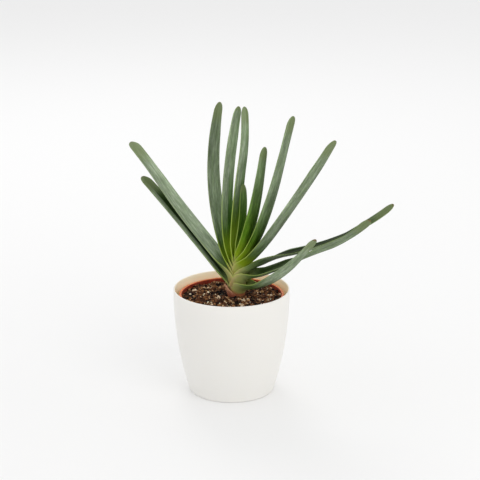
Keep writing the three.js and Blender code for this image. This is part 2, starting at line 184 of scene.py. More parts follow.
# Oldest leaf first. root: height of its insertion above the soil. azimuth: 0 to the right and 90
# away from the viewer, changing by turn along the leaf. leans: angle from the vertical at the
# throat, a third, two thirds and the tip. rolls: turn about its own length where it opens and at
# the last three of these. widths: across the blade, from there to the tip. wrap: the angle that
# its sheath reaches to either side of its back. outset: how far the sheath stands off the stem.
Leaf = namedtuple("Leaf", "root azimuth turn leans rolls length widths wrap outset",
                  defaults=(125, 0))
FLAT = (0, 0, 0, 0)
LEAVES = (
    Leaf(2.5, -46, 3, (71, 57, 46, 40), (-16, -30, -42, -22), 143.8, (15.2, 13.5, 8.8, 10),
         150, 1.7),
    Leaf(4, 140, -2, (49, 51.7, 54.4, 57), FLAT, 179, (20.2, 19.4, 17, 15.2), 88),
    Leaf(14, -28.4, 2.8, (66, 60.7, 61.8, 43), (12, 15, -34, -40), 181, (21.6, 17.9, 11.4, 12.5)),
    Leaf(17, 140, -4, (50, 51.8, 48, 55), FLAT, 209, (23, 21.4, 17, 16.5)),
    Leaf(20, -12.5, 0, (52.3, 73.9, 61.5, 46), (-26, 2, -5, 30), 197, (20.5, 19.8, 19, 10)),
    Leaf(23, 128, 0, (35.5, 16.8, -3.4, -18.1), FLAT, 204, (20.5, 18.8, 15.9, 10.5)),
    Leaf(26, -40, -6, (46.2, 37, 36.2, 33), FLAT, 221, (22.8, 21.2, 20.4, 13.8)),
    Leaf(28, 132, 0, (21.9, -0.9, -9.7, -16.5), FLAT, 194.5, (18.3, 16.4, 15.1, 10.6)),
    Leaf(30, -42, 0, (38.9, 22.7, 16, 16.2), FLAT, 205, (21.5, 19.2, 13.6, 13)),
    Leaf(32, 138, 0, (0.2, -6.8, -10.9, 5), FLAT, 189, (18.3, 16.4, 13.2, 11)),
    Leaf(34, -48, 2, (27, 18.1, 11.4, 9.3), FLAT, 153, (20.5, 18.8, 13.2, 10.4)),
    Leaf(36, 138, 0, (-14.5, -14.8, -4.6, 2.8), FLAT, 98, (15, 13.5, 12, 9)),
)

# How each leaf looks, oldest first. bloom: how much wax greys its green. waxed: distances from the
# root where the wax sets in and is full. light: brightness against the others, at its foot and at
# its tip, partly its own tone and partly painted light and shade. sided: how much painted light
# makes it lighter towards one margin. bare: how dark and free of wax its inner face is, thinner
# wax together with painted shade in the channel and under the next leaf. past: the place across
# it, from -1 to 1 at its margins, past which it is so, or MIDDLE for the whole of its channel.
# covered: shares of its length between which the bare part fades. dryness: how far its tip has
# dried. ripe: length of its olive end. greens: its colours in the crown and deep in the channel,
# the second a dark green that paints the shade there. fresh: distance from the root at which the
# crown's colour ends. rusty: how brown its foot is.
Look = namedtuple(
    "Look", "bloom waxed light sided bare past covered dryness ripe greens fresh rusty")
# Each pair: the crown's colour, then the dark green that paints the shade deep in the channel
YOUNG, GROWN = ("#8CA620", "#2C5A06"), ("#7F925C", "#142608")
MIDDLE = 2
LOOKS = (
    Look(0.95, (14, 66), (0.74, 0.9), 0.1, 0.5, MIDDLE, (0.2, 0.5), 1.0, 26, GROWN, 30, 0.9),
    Look(0.85, (10, 45), (1.0, 0.88), 0.0, 1.0, -0.4, (0.75, 0.9), 0.5, 34, GROWN, 30, 0.8),
    Look(0.8, (12, 50), (0.72, 0.74), 0.0, 0.62, MIDDLE, (0.5, 0.7), 0.8, 30, GROWN, 30, 0.3),
    Look(1.0, (12, 45), (0.96, 0.92), 0.1, 0.0, MIDDLE, (0.5, 0.7), 0.45, 42, GROWN, 30, 0.3),
    Look(0.8, (14, 50), (0.7, 0.88), 0.0, 0.95, -0.75, (0.66, 0.96), 0.7, 34, GROWN, 34, 0.3),
    Look(0.9, (26, 70), (0.92, 0.72), 0.12, 0.2, MIDDLE, (0.2, 0.6), 0.2, 30, YOUNG, 42, 0.3),
    Look(0.85, (22, 80), (0.64, 0.8), 0.2, 0.5, MIDDLE, (0.5, 0.7), 0.2, 30, YOUNG, 42, 0.3),
    Look(0.9, (36, 90), (0.94, 1.12), 0.0, 0.65, 0.05, (0.35, 0.65), 0.2, 6, YOUNG, 56, 0.3),
    Look(0.85, (46, 130), (0.8, 0.84), 0.3, 0.5, MIDDLE, (0.5, 0.7), 0.1, 26, YOUNG, 52, 0.3),
    Look(0.9, (50, 120), (0.86, 0.92), 0.0, 0.65, 0.1, (0.4, 0.7), 0.1, 26, YOUNG, 80, 0.3),
    Look(0.5, (50, 140), (0.9, 0.94), 0.25, 0.5, MIDDLE, (0.5, 0.7), 0.0, 20, YOUNG, 50, 0.3),
    Look(0.3, (50, 100), (1.05, 0.88), 0.1, 0.3, MIDDLE, (0.5, 0.9), 0.0, 12, YOUNG, 44, 0.3),
)

# A dead twig that lies on the soil in front: two ends (x, y), its radius and its pieces
TWIG = ((-7, -6), (3, -29), 0.3, 7)
TWIG_HEIGHT = 2
TWIG_BEND = 0.12

# Loose bits in the soil
RANDOM_SEED = 83
PERLITE_SHOWN = ((-15, 46, 2.4), (-32, 26, 1.7), (-47, 10, 1.6), (-26, -18, 1.3), (-22.5, -19, 1.1))
PERLITE_SCATTERED = 36
PERLITE_RADII = (0.9, 1.9)
PERLITE_FLATTEST = 0.7
PERLITE_SUNK = 0.15
BARK_SCATTERED = 30
BARK_LENGTHS = (2.2, 5.2)
BARK_BREADTHS = (0.3, 0.6)
BARK_THICKNESS = 1.6
LOOSE_TILT = 15
LOOSE_MARGIN = 3
STEM_CLEAR = 8
LUMP_SHAPES = 5
CHIP_SHAPES = 4

# Finer bits than the solids hold: how many, lengths or radii, breadths against them, thickness
# where it has one of its own, and how high they lie
FINE_REACH = 1.04
FULL_TURN = 6.3
Fine = namedtuple("Fine", "count sizes breadths thickness lift")
FINE_PERLITE = Fine(240, (0.35, 1.0), (0.7, 1), 0.8, 0.2)
FIBRES = Fine(110, (3, 9), (0.26, 0.26), 0.26, 0.9)
FINE_BARK = Fine(150, (1.5, 4.5), (0.25, 0.5), 0.6, 0.3)
CRUMBS = Fine(4600, (0.35, 2.1), (0.6, 1), (0.5, 0.9), 0.25)
# A crumb's tone: its middle, and how far broad and small patches, chance and the painted shade
# of a hollow move it
CRUMB_TONE = (0.41, 0.9, 0.6, 0.5, 0.8)
BROAD_CELLS = 0.11
PATCH_CELLS = 0.3

# The oldest leaves, whose sheaths reach the soil
LEAVES_AT_SOIL = 2


# Small helpers

def add_node(tree, kind, inputs=(), stops=(), **settings):
    """Adds a shader node with its settings and, on a ramp, its stops of (place, colour). Inputs go
    by name or in a row, each a value, a hex colour, an output, or a node whose first output in
    use is linked."""
    node = tree.nodes.new(kind)
    for name, value in settings.items():
        setattr(node, name, value)
    for name, value in inputs.items() if isinstance(inputs, dict) else enumerate(inputs):
        if isinstance(value, bpy.types.Node):
            value = next(output for output in value.outputs if output.enabled)
        if isinstance(value, bpy.types.NodeSocket):
            tree.links.new(value, node.inputs[name])
        else:
            node.inputs[name].default_value = linear(value) if isinstance(value, str) else value
    if stops:
        elements = node.color_ramp.elements
        while len(elements) < len(stops):
            elements.new(1)
        for element, (place, colour) in zip(elements, stops):
            element.position = place
            element.color = linear(colour)
    return node


def linear(hex_colour):
    """An sRGB hex colour as linear RGBA."""
    parts = [int(hex_colour[i:i + 2], 16) / 255 for i in (1, 3, 5)]
    return tuple(c / 12.92 if c <= 0.04045 else ((c + 0.055) / 1.055) ** 2.4 for c in parts) + (1,)


def lerp(a, b, share):
    return a + (b - a) * share


def rows_at(rows, places):
    """Values on straight lines between rows of (place, value)."""
    return np.interp(places, [row[0] for row in rows], [row[1] for row in rows])


def seeded_random(seed):
    """Repeatable random numbers between 0 and 1, by the rule that also sets out the solids."""
    state = seed
    while True:
        state = (state * 1664525 + 1013904223) % 4294967296
        yield state / 4294967296


def mesh_of(name, bm):
    mesh = bpy.data.meshes.new(name)
    bm.to_mesh(mesh)
    bm.free()
    return mesh


def in_scene(found):
    bpy.context.scene.collection.objects.link(found)
    return found


def finished(name, bm, replaced=(), materials=(), sharp_over=None):
    """A bmesh as a named piece that rides on the plant's one body."""
    mesh = mesh_of(name, bm)
    for material in materials:
        mesh.materials.append(material)
    mesh.polygons.foreach_set("use_smooth", [True] * len(mesh.polygons))
    if sharp_over is not None:
        mesh.set_sharp_from_angle(angle=math.radians(sharp_over))
    piece = in_scene(bpy.data.objects.new(name, mesh))
    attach(piece, "root")
    if replaced:
        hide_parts(*replaced)


def spun(profile, steps):
    """A round body about the Z axis from rows of (radius, height) in millimetres."""
    bm = bmesh.new()
    points = [bm.verts.new((radius * MM, 0, height * MM)) for radius, height in profile]
    edges = [bm.edges.new(pair) for pair in zip(points, points[1:])]
    bmesh.ops.spin(
        bm, geom=points + edges, axis=(0, 0, 1), cent=(0, 0, 0), angle=2 * math.pi,
        steps=steps, use_merge=True,
    )
    bmesh.ops.remove_doubles(bm, verts=bm.verts, dist=0.001 * MM)
    bmesh.ops.recalc_face_normals(bm, faces=bm.faces)
    return bm


def closed_tube(around, rows):
    """A capped tube, and for each of its corners the place round it and the row along it."""
    bm = bmesh.new()
    bmesh.ops.create_cone(bm, cap_ends=True, segments=around, radius1=1, radius2=1, depth=2)
    sides = [edge for edge in bm.edges if abs(edge.verts[0].co.z - edge.verts[1].co.z) > 1]
    bmesh.ops.subdivide_edges(bm, edges=sides, cuts=rows - 2)
    spot = {}
    for vertex in bm.verts:
        turn = math.atan2(vertex.co.y, vertex.co.x) / (2 * math.pi)
        row = round((vertex.co.z + 1) / 2 * (rows - 1))
        spot[vertex] = (round(turn * around) % around, row)
    return bm, spot


def arc(centre, radius, start, end, pieces):
    """Points of (radius, height) on an arc round a centre, angles in degrees from outwards."""
    turns = np.radians(np.linspace(start, end, pieces + 1))
    return [(centre[0] + radius * math.cos(t), centre[1] + radius * math.sin(t)) for t in turns]


def plain_object(name, bm):
    """A bmesh as an object that only cuts or is cut."""
    return bpy.data.objects.new(name, mesh_of(name, bm))


def largest_body(bm):
    """Drops every loose scrap that a cut leaves, and keeps the largest body."""
    left = set(bm.verts)
    bodies = []
    while left:
        found = {left.pop()}
        queue = list(found)
        while queue:
            for edge in queue.pop().link_edges:
                for vertex in edge.verts:
                    if vertex not in found:
                        found.add(vertex)
                        queue.append(vertex)
        left -= found
        bodies.append(found)
    bodies.sort(key=len)
    for scrap in bodies[:-1]:
        bmesh.ops.delete(bm, geom=list(scrap), context="VERTS")


def cut_clear(bm, cutters):
    """What is left of a body outside every cutter of a collection."""
    whole = in_scene(plain_object("whole", bm))
    cut = whole.modifiers.new("cut", "BOOLEAN")
    cut.operation = "DIFFERENCE"
    cut.operand_type = "COLLECTION"
    cut.collection = cutters
    cut.solver = "MANIFOLD"
    shown = whole.evaluated_get(bpy.context.evaluated_depsgraph_get())
    left = bmesh.new()
    left.from_mesh(shown.to_mesh())
    shown.to_mesh_clear()
    bpy.data.objects.remove(whole)
    largest_body(left)
    return left


def new_cutters():
    cutters = bpy.data.collections.new("cutters")
    bpy.context.scene.collection.children.link(cutters)
    return cutters


def clear_cutters(cutters):
    for cutter in list(cutters.objects):
        bpy.data.objects.remove(cutter)
    bpy.data.collections.remove(cutters)


# Materials

SURFACE = "ShaderNodeOutputMaterial"
SHADER = "ShaderNodeBsdfPrincipled"
PLACE = "ShaderNodeTexCoord"
MATH = "ShaderNodeMath"
RANGE = "ShaderNodeMapRange"
MIX = "ShaderNodeMix"
NOISE = "ShaderNodeTexNoise"
RAMP = "ShaderNodeValToRGB"
BUMP = "ShaderNodeBump"
SPLIT = "ShaderNodeSeparateXYZ"
JOIN = "ShaderNodeCombineXYZ"
MAPPING = "ShaderNodeMapping"
ATTRIBUTE = "ShaderNodeAttribute"
SMOOTH = {"interpolation_type": "SMOOTHSTEP"}
COLOURS = {"data_type": "RGBA"}


def cells(size):
    """The scale of a pattern whose grains are size millimetres wide."""
    return 1 / (size * MM)


def new_material(name):
    """An empty material, and add_node with its tree."""
    material = bpy.data.materials.new(name)
    material.use_nodes = True
    material.node_tree.nodes.clear()
    return material, partial(add_node, material.node_tree)


def moulded_polypropylene(name, clean, foot_grey, orange_bounce, through):
    """Injection-moulded white polypropylene: an even warm white with a soft satin shine, a little
    light let through, the faint orange peel of the mould, and greyer in cloudy patches towards the
    foot. Inside, painted orange light, as if bounced off the grow pot next to it, warms the wall up
    to just above its rim."""
    material, add = new_material(name)
    place = add(PLACE).outputs["Object"]
    peel = add(NOISE, {"Vector": place, "Scale": cells(2.38), "Detail": 2})
    cloud = add(NOISE, {"Vector": place, "Scale": cells(38.5), "Detail": 3})
    height = add(SPLIT, {0: place}).outputs["Z"]
    # Greyer in cloudy patches towards the foot
    foot = add(RANGE, (height, 45 * MM, 0, 0, 1))
    mottle = add(MATH, (foot, cloud), operation="MULTIPLY")
    white = add(MIX, {0: mottle, 6: clean, 7: foot_grey}, **COLOURS)
    # Painted orange light bounced off the grow pot, up to just above its rim
    bounce_band = add(RANGE, (height, (GROW_TOP + 4.5) * MM, (GROW_TOP - 2) * MM, 0, 1), **SMOOTH)
    shader = add(SHADER, {
        "Base Color": add(MIX, {0: bounce_band, 6: white, 7: orange_bounce}, **COLOURS),
        "Roughness": add(RANGE, (cloud, 0, 1, 0.36, 0.48)), "IOR": 1.49,
        "Normal": add(BUMP, {"Height": peel, "Strength": 0.35, "Distance": 0.05 * MM}),
        "Subsurface Weight": through, "Subsurface Scale": 6 * MM,
        "Subsurface Radius": (1.0, 0.9, 0.75),
    })
    add(SURFACE, {"Surface": shader})
    return material


def grow_pot_polypropylene(name, shaded, middling, lit):
    """Thin terracotta-coloured polypropylene: light comes through it, so it turns bright orange
    where it is lit, and a deep red copy of it paints the shade on its inner wall. Soil dust dulls
    it."""
    material, add = new_material(name)
    mottle = add(NOISE, {"Vector": add(PLACE).outputs["Object"], "Scale": cells(4.17), "Detail": 6})
    shader = add(SHADER, {
        "Base Color": add(RAMP, {0: mottle}, stops=((0.3, shaded), (0.55, middling), (0.8, lit))),
        "Roughness": 0.5, "IOR": 1.49, "Specular IOR Level": 0.35,
        "Normal": add(BUMP, {"Height": mottle, "Strength": 0.4, "Distance": 0.08 * MM}),
        "Subsurface Weight": 0.3, "Subsurface Scale": 4 * MM,
        "Subsurface Radius": (1.0, 0.35, 0.15),
    })
    add(SURFACE, {"Surface": shader})
    return material


def peat():
    """Damp black and brown peat: matt, fibrous and almost black in its hollows."""
    material, add = new_material("peat")
    place = add(PLACE).outputs["Object"]
    clod = add(NOISE, {"Vector": place, "Scale": cells(5.26), "Detail": 7, "Roughness": 0.68})
    grit = add(NOISE, {"Vector": place, "Scale": cells(0.667), "Detail": 3})
    shader = add(SHADER, {
        "Base Color": add(RAMP, {0: clod}, stops=(
            (0.36, "#0E0805"), (0.46, "#36221A"), (0.56, "#6A482C"), (0.68, "#A07A4C"),
        )),
        "Roughness": 0.93, "Specular IOR Level": 0.2,
        "Normal": add(BUMP, {"Height": grit, "Strength": 0.9, "Distance": 0.3 * MM}),
    })
    add(SURFACE, {"Surface": shader})
    return material


def peat_crumb():
    """Crumbs of peat, fibre and composted bark: each crumb has its own brown."""
    material, add = new_material("peat_crumbs")
    grit = add(NOISE, {"Vector": add(PLACE).outputs["Object"], "Scale": cells(0.769), "Detail": 4})
    tone = add(ATTRIBUTE, attribute_name="tone").outputs["Fac"]
    own = add(RAMP, {0: tone}, stops=(
        (0.0, "#100805"), (0.2, "#351B12"), (0.45, "#653E26"), (0.68, "#94663F"),
        (0.88, "#C89E70"), (1.0, "#EEDABA"),
    ))
    dulled = add(RANGE, (grit, 0.3, 0.7, 0.75, 1.1), **SMOOTH)
    grey = add(JOIN, (dulled, dulled, dulled))
    shader = add(SHADER, {
        "Base Color": add(MIX, {0: 1.0, 6: own, 7: grey}, blend_type="MULTIPLY", **COLOURS),
        "Roughness": 0.9, "Specular IOR Level": 0.2,
        "Normal": add(BUMP, {"Height": grit, "Strength": 0.8, "Distance": 0.2 * MM}),
    })
    add(SURFACE, {"Surface": shader})
    return material


def expanded_perlite():
    """Expanded perlite: chalk-white volcanic glass foam with tiny pores and peat stains."""
    material, add = new_material("expanded_perlite")
    place = add(PLACE).outputs["Object"]
    stain = add(NOISE, {"Vector": place, "Scale": cells(1.43), "Detail": 4})
    pores = add("ShaderNodeTexVoronoi", {"Vector": place, "Scale": cells(0.4545)})
    shader = add(SHADER, {
        "Base Color": add(RAMP, {0: stain}, stops=(
            (0.34, "#B09468"), (0.46, "#E6D6B4"), (0.62, "#F8EFD8"),
        )),
        "Roughness": 0.85, "Subsurface Weight": 0.2, "Subsurface Scale": MM,
        "Normal": add(BUMP, {"Height": pores, "Strength": 0.7, "Distance": 0.15 * MM}),
    })
    add(SURFACE, {"Surface": shader})
    return material


def bark():
    """Composted pine bark: flakes in layered red-browns with a paler, torn fibre."""
    material, add = new_material("pine_bark")
    # Layers 1.43 mm apart: a wave's bands are a tenth of pi apart at a scale of 1
    layers = add("ShaderNodeTexWave", {
        "Vector": add(PLACE).outputs["Object"], "Scale": 0.1 * math.pi * cells(1.428),
        "Distortion": 6, "Detail": 3,
    }).outputs["Fac"]
    tone = add(ATTRIBUTE, attribute_name="tone").outputs["Fac"]
    own = add(RAMP, {0: tone}, stops=(
        (0.0, "#2E1A12"), (0.5, "#6B4430"), (0.85, "#9C6E48"), (1.0, "#CFA87A"),
    ))
    darker = add(MIX, {0: layers, 6: own, 7: "#4A2E22"}, blend_type="MULTIPLY", **COLOURS)
    shader = add(SHADER, {
        "Base Color": add(MIX, {0: 0.4, 6: own, 7: darker}, **COLOURS),
        "Roughness": 0.82, "Specular IOR Level": 0.3,
        "Normal": add(BUMP, {"Height": layers, "Strength": 0.6, "Distance": 0.2 * MM}),
    })
    add(SURFACE, {"Surface": shader})
    return material


def corky_stem():
    """The bare foot of the stem: dry, reddish-brown cork with rings left by fallen leaves."""
    material, add = new_material("corky_stem")
    stretched = add(MAPPING, {"Vector": add(PLACE).outputs["Object"], "Scale": (1, 1, 4)})
    cork = add(NOISE, {"Vector": stretched, "Scale": CORK_CELLS, "Detail": 6})
    shader = add(SHADER, {
        "Base Color": add(RAMP, {0: cork}, stops=(
            (0.3, "#5A3325"), (0.5, "#9A5C43"), (0.68, "#B98464"), (0.8, "#A9A06A"),
        )),
        "Roughness": 0.75,
        "Normal": add(BUMP, {"Height": cork, "Strength": 0.8, "Distance": 0.4 * MM}),
    })
    add(SURFACE, {"Surface": shader})
    return material


def leaf_cuticle(number):
    """Fleshy leaf under a waxy cuticle: fresh yellow-green in the crown, then a blue-grey bloom
    over the green, thinner in the channel. Painted shade darkens the channel and the half under the
    next leaf, and painted light brightens one margin. Fine lengthwise veins, cloudy streaks of wax,
    a pale horny margin, papery edges on the sheath, and an older leaf's tip turns olive and brown."""
    leaf, look = LEAVES[number - 1], LOOKS[number - 1]
    material, add = new_material(f"leaf_cuticle_{number:02d}")
    skin = add(SPLIT, {0: add("ShaderNodeUVMap", uv_map="skin")})
    turn = add(MATH, (skin.outputs[0], 2 * math.pi), operation="MULTIPLY")
    across = add(MATH, (turn,), operation="COSINE")
    depth = add(MATH, (turn,), operation="SINE")
    edge = add(MATH, (across,), operation="ABSOLUTE")
    inner = add(RANGE, (depth, 0.1, -0.1, 0, 1), **SMOOTH)
    root_mm = add(MATH, (skin.outputs[1], leaf.length), operation="MULTIPLY")
    tip_mm = add(MATH, (leaf.length, root_mm), operation="SUBTRACT")
    share = skin.outputs[1]

    # Lengthwise patterns, as wide and as long as given in millimetres
    patterns = {}
    for name, width, length, detail in (
        ("veins", 0.8, 33, 3), ("fleck", 1.3, 5, 2), ("streak", 1.9, 26, 2),
        ("wax", 3.5, 22, 4), ("cloud", 9, 45, 2),
    ):
        place = add(JOIN, (
            add(MATH, (across, leaf.widths[1] / 2 / width), operation="MULTIPLY"),
            add(MATH, (root_mm, 1 / length), operation="MULTIPLY"),
            add(MATH, (depth, 1.5, number * 3.7 + width), operation="MULTIPLY_ADD"),
        ))
        patterns[name] = add(NOISE, {
            "Vector": place, "Scale": 1, "Detail": detail, "Roughness": 0.6,
        })

    # Green under the wax. In the inner face's channel and on the half under the next leaf, wax is
    # thinner and painted shade darkens the green
    green = add(RAMP, {0: patterns["veins"]}, stops=(
        (0.3, "#304D10"), (0.5, "#456616"), (0.7, "#5E8226"),
    ))
    if look.past == MIDDLE:
        hollow = add(RANGE, (edge, 0.55, 0.97, 1, 0.2), **SMOOTH)
    else:
        hollow = add(RANGE, (across, look.past - 0.15, look.past + 0.2, 0, 1), **SMOOTH)
    channel = add(MATH, (inner, hollow), operation="MULTIPLY")
    covered = add(RANGE, (share, *look.covered, look.bare, 0.25 * look.bare), **SMOOTH)
    bare = add(MATH, (channel, covered), operation="MULTIPLY")
    waxed = add(RANGE, (root_mm, *look.waxed, 0, look.bloom), **SMOOTH)
    patchy = add(RANGE, (patterns["wax"], 0.3, 0.7, 0.7, 1.12), **SMOOTH)
    thin = add(MATH, (1, bare), operation="SUBTRACT")
    coated = add(MATH, (waxed, patchy), operation="MULTIPLY")
    bloom = add(MATH, (coated, thin), operation="MULTIPLY", use_clamp=True)
    glaucous = add(MIX, {0: bloom, 6: green, 7: "#98A68C"}, **COLOURS)
    painted_channel_shade = add(MATH, (bare, 0.94), operation="MULTIPLY")
    deep = add(MIX, {0: painted_channel_shade, 6: glaucous, 7: look.greens[1]}, **COLOURS)

    # Darker and lighter streaks, painted light that brightens one margin, and the leaf's
    # brightness, partly its own tone and partly painted light and shade
    light = add(RANGE, (share, 0.2, 0.9, *look.light))
    shade = add(MATH, (across, look.sided, 1), operation="MULTIPLY_ADD")
    for name, low, high in (("cloud", 0.82, 1.16), ("streak", 0.76, 1.12), ("fleck", 0.88, 1.12)):
        varied = add(RANGE, (patterns[name], 0.32, 0.68, low, high), **SMOOTH)
        shade = add(MATH, (shade, varied), operation="MULTIPLY")
    shade = add(MATH, (shade, light), operation="MULTIPLY")
    grey = add(JOIN, (shade, shade, shade))
    clouded = add(MIX, {0: 1.0, 6: deep, 7: grey}, blend_type="MULTIPLY", **COLOURS)

    # Fresh growth low in the crown, the sheath's pale lower part, papery edges and brown foot
    fresh = add(RANGE, (root_mm, 10, look.fresh, 0.9, 0), **SMOOTH)
    crown = add(MIX, {0: fresh, 6: clouded, 7: look.greens[0]}, **COLOURS)
    dull = add(RANGE, (root_mm, 6, 19, 0.72, 0), **SMOOTH)
    dulled = add(MIX, {0: dull, 6: crown, 7: "#A2A460"}, **COLOURS)
    sheath = add(RANGE, (root_mm, 5, 15, 1, 0), **SMOOTH)
    free = add(RANGE, (edge, 0.7, 0.95, 0, 0.5), **SMOOTH)
    papery = add(MATH, (sheath, free), operation="MULTIPLY")
    sheathed = add(MIX, {0: papery, 6: dulled, 7: "#C6AC80"}, **COLOURS)
    foot = add(RANGE, (root_mm, 6, 2, 0, look.rusty), **SMOOTH)
    footed = add(MIX, {0: foot, 6: sheathed, 7: "#96543A"}, **COLOURS)

    # Pale horny margin, clear near the base and fading along the blade
    rim = add(RANGE, (edge, 0.92, 0.985, 0, 1), **SMOOTH)
    clear = add(RANGE, (root_mm, 0.4 * look.fresh, 2.2 * look.fresh, 0.7, 0.12), **SMOOTH)
    horny = add(MATH, (rim, clear), operation="MULTIPLY")
    edged = add(MIX, {0: horny, 6: footed, 7: "#B0C462"}, **COLOURS)

    # The tip: olive, and brown at its very end on an old leaf
    olive = add(RANGE, (tip_mm, look.ripe, 0.4 * look.ripe, 0, 0.6), **SMOOTH)
    ripened = add(MIX, {0: olive, 6: edged, 7: "#707C50"}, **COLOURS)
    burnt = add(RANGE, (tip_mm, 2.4, 0.4, 0, look.dryness), **SMOOTH)
    shader = add(SHADER, {
        "Base Color": add(MIX, {0: burnt, 6: ripened, 7: "#6B563C"}, **COLOURS),
        "Roughness": add(RANGE, (patterns["wax"], 0.3, 0.7, 0.46, 0.62), **SMOOTH),
        "Normal": add(BUMP, {"Height": patterns["veins"], "Strength": 0.5, "Distance": 0.12 * MM}),
        "IOR": 1.4, "Specular IOR Level": 0.02,
        "Subsurface Weight": 0.1, "Subsurface Scale": 3 * MM, "Subsurface Radius": (0.5, 1.0, 0.2),
    })
    add(SURFACE, {"Surface": shader})
    return material


def dry_sheath():
    """A withered sheath: reddish-brown papery tissue, paler where it has split into fibres."""
    material, add = new_material("withered_sheath")
    place = add(PLACE).outputs["Object"]
    long_way = add(MAPPING, {"Vector": place, "Scale": (1, 1, 0.16)})
    fibre = add(NOISE, {"Vector": long_way, "Scale": cells(1.11), "Detail": 4})
    height = add(SPLIT, {0: place}).outputs["Z"]
    low, high = (SOIL_LEVEL + 3) * MM, (SOIL_LEVEL + 11) * MM
    up = add(RANGE, (height, low, high, 0, 1), **SMOOTH)
    brown = add(MIX, {0: up, 6: "#9E5438", 7: "#C49474"}, **COLOURS)
    torn = add(RANGE, (fibre, 0.35, 0.65, 0.6, 0), **SMOOTH)
    shader = add(SHADER, {
        "Base Color": add(MIX, {0: torn, 6: brown, 7: "#7C4430"}, **COLOURS),
        "Roughness": 0.72,
        "Normal": add(BUMP, {"Height": fibre, "Strength": 0.8, "Distance": 0.2 * MM}),
    })
    add(SURFACE, {"Surface": shader})
    return material


# Cover pot

def cover_radius(height):
    below = 1 - height / COVER_TOP
    return COVER_RIM_RADIUS - (COVER_RIM_RADIUS - COVER_FOOT_RADIUS) * below ** COVER_SWELL


def make_cover_pot():
    """Flat underside, rounded foot, swelling wall, rounded lip, inner wall and floor."""
    lip = COVER_WALL / 2
    foot = cover_radius(COVER_FOOT_ROUND) - COVER_FOOT_ROUND
    inner_foot = cover_radius(COVER_FLOOR) - COVER_WALL - COVER_FLOOR_ROUND
    rise = COVER_FLOOR + COVER_FLOOR_ROUND
    profile = [(0, 0), (foot * 0.5, 0)]
    profile += arc((foot, COVER_FOOT_ROUND), COVER_FOOT_ROUND, -90, 0, 6)
    heights = np.linspace(COVER_FOOT_ROUND, COVER_TOP - lip, COVER_WALL_ROWS)[1:-1]
    profile += [(cover_radius(z), z) for z in heights]
    profile += arc((COVER_RIM_RADIUS - lip, COVER_TOP - lip), lip, 0, 180, 10)
    inner = np.linspace(COVER_TOP - lip, rise, COVER_WALL_ROWS)[1:]
    profile += [(cover_radius(z) - COVER_WALL, z) for z in inner]
    profile += arc((inner_foot, rise), COVER_FLOOR_ROUND, -30, -90, 4)
    profile += [(inner_foot * 0.5, COVER_FLOOR), (0, COVER_FLOOR)]
    bm = spun(profile, COVER_STEPS)
    for face in bm.faces:
        middle = face.calc_center_median()
        if middle.z > COVER_FLOOR * MM / 2 and face.normal.xy.dot(middle.xy) < 0:
            face.material_index = 1
    outside = moulded_polypropylene("white_polypropylene", "#E9E7E2", "#D0CDC4", "#E9E7E2", 0.12)
    # The inside is a peach copy of the white: painted orange light bounced off the grow pot
    inside = moulded_polypropylene("white_polypropylene_inside", "#F2E0CC", "#DDCBB4",
                                   "#FFDEC8", 1.0)
    finished("cover_pot", bm, ["outer_pot"], [outside, inside])


# Grow pot

def grow_bore(height):
    """Inner radius of the grow pot's tapered wall."""
    share = (height - GROW_BOTTOM) / (GROW_TOP - GROW_RIM_DEPTH - GROW_BOTTOM)
    return lerp(GROW_BASE_RADIUS, GROW_WALL_TOP_RADIUS, share) - GROW_WALL


def make_grow_pot():
    """Tapered wall, stepped band, rounded rim, and a floor with drain holes."""
    inside = GROW_BOTTOM + GROW_FLOOR
    step = GROW_TOP - GROW_RIM_DEPTH
    bore = grow_bore(GROW_TOP - GROW_LIP)
    profile = [(0, GROW_BOTTOM)]
    profile += arc((GROW_BASE_RADIUS - GROW_ROUND, GROW_BOTTOM + GROW_ROUND), GROW_ROUND, -90, 0, 4)
    profile += [(GROW_WALL_TOP_RADIUS, step - GROW_CHAMFER)]
    profile += [(GROW_WALL_TOP_RADIUS + GROW_CHAMFER, step), (GROW_RIM_RADIUS - GROW_CHAMFER, step)]
    profile += [(GROW_RIM_RADIUS, step + GROW_CHAMFER)]
    profile += arc((GROW_RIM_RADIUS - GROW_LIP, GROW_TOP - GROW_LIP), GROW_LIP, 0, 90, 4)
    profile += arc((bore + GROW_LIP, GROW_TOP - GROW_LIP), GROW_LIP, 90, 180, 4)
    heights = np.linspace(GROW_TOP - 2 * GROW_LIP, inside + GROW_ROUND, GROW_WALL_ROWS)
    profile += [(grow_bore(z), z) for z in heights]
    profile += [(grow_bore(inside) - GROW_ROUND, inside), (0, inside)]
    drills = new_cutters()
    for i in range(DRAIN_HOLES):
        drill = bmesh.new()
        bmesh.ops.create_cone(
            drill, cap_ends=True, segments=DRAIN_STEPS, radius1=DRAIN_RADIUS * MM,
            radius2=DRAIN_RADIUS * MM, depth=3 * GROW_FLOOR * MM,
        )
        turn = 2 * math.pi * i / DRAIN_HOLES
        place = (DRAIN_CIRCLE * math.cos(turn), DRAIN_CIRCLE * math.sin(turn),
                 GROW_BOTTOM + GROW_FLOOR / 2)
        bmesh.ops.translate(drill, verts=drill.verts, vec=[value * MM for value in place])
        drills.objects.link(plain_object(f"drill_{i}", drill))
    drilled = cut_clear(spun(profile, GROW_STEPS), drills)
    clear_cutters(drills)
    for face in drilled.faces:
        middle = face.calc_center_median()
        outward = face.normal.xy.dot(middle.xy)
        if middle.z > inside * MM and outward < -GROW_INWARD * middle.xy.length:
            face.material_index = 1
    # Lit orange outside and on the rim; a deep red copy paints the shade on the inner wall
    dry = grow_pot_polypropylene("terracotta_polypropylene", "#CA6430", "#DC7842", "#EA905C")
    painted_shade = grow_pot_polypropylene("terracotta_polypropylene_shaded", "#6A1C08", "#8C2A0E", "#A63E18")
    finished("grow_pot", drilled, ["nursery_pot"], [dry, painted_shade], sharp_over=50)


# Soil

